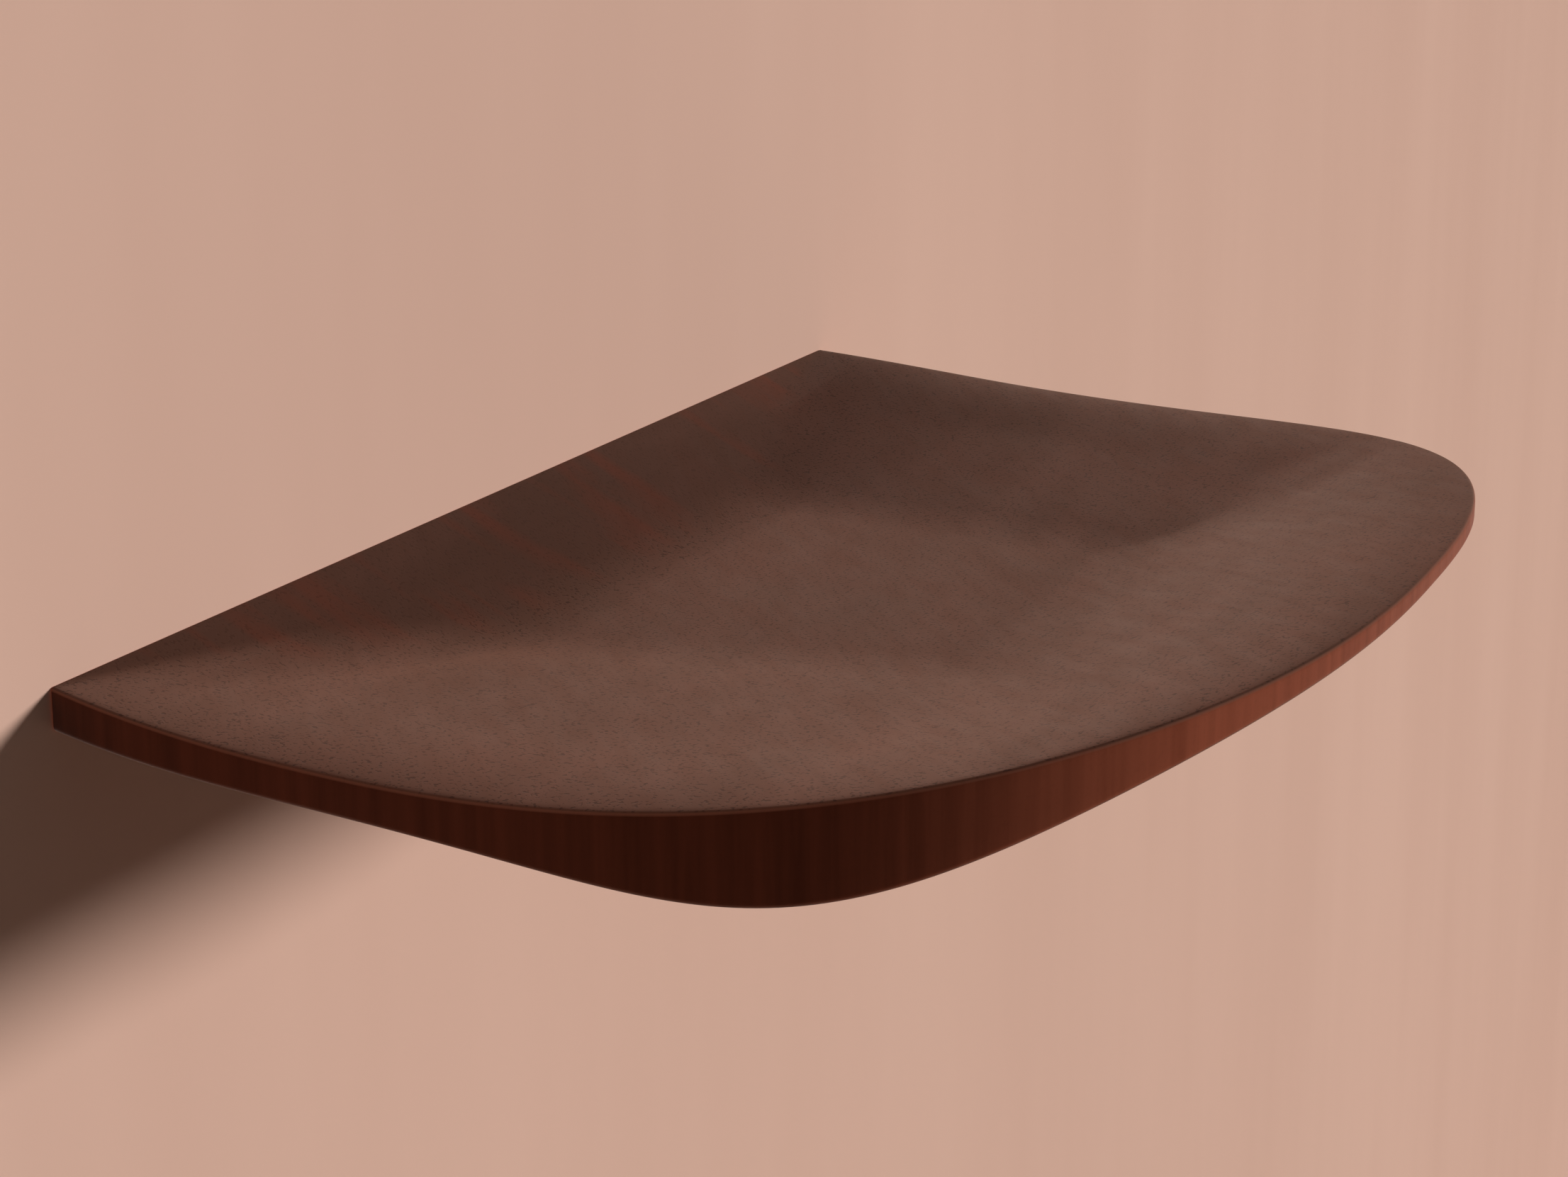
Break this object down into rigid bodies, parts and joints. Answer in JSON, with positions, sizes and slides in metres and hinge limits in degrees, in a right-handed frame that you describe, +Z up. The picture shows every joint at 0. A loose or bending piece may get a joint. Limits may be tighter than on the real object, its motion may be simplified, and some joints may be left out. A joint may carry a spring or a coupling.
{
  "type": "wall trinket shelf",
  "caption": "Wooden wall shelf with a rounded front, carved from one thick board, with a sunk dish for keys and small things, held on the wall by two hidden steel pins.",
  "frame": {"origin": "on the wall plane, midway between the axes of the two support pins", "axes": "+X along the wall to the right as seen from the room, +Y into the wall along the pins, +Z up"},
  "size_m": [0.3, 0.1995, 0.0263],
  "materials": {
    "oiled_hardwood": "dark reddish-brown hardwood with a satin oil finish",
    "zinc_plated_steel": "turned steel, zinc plated"
  },
  "bodies": {
    "root": {"shelf_body": "oiled_hardwood", "support_pin_left": "zinc_plated_steel", "support_pin_right": "zinc_plated_steel"}
  },
  "joints": []
}
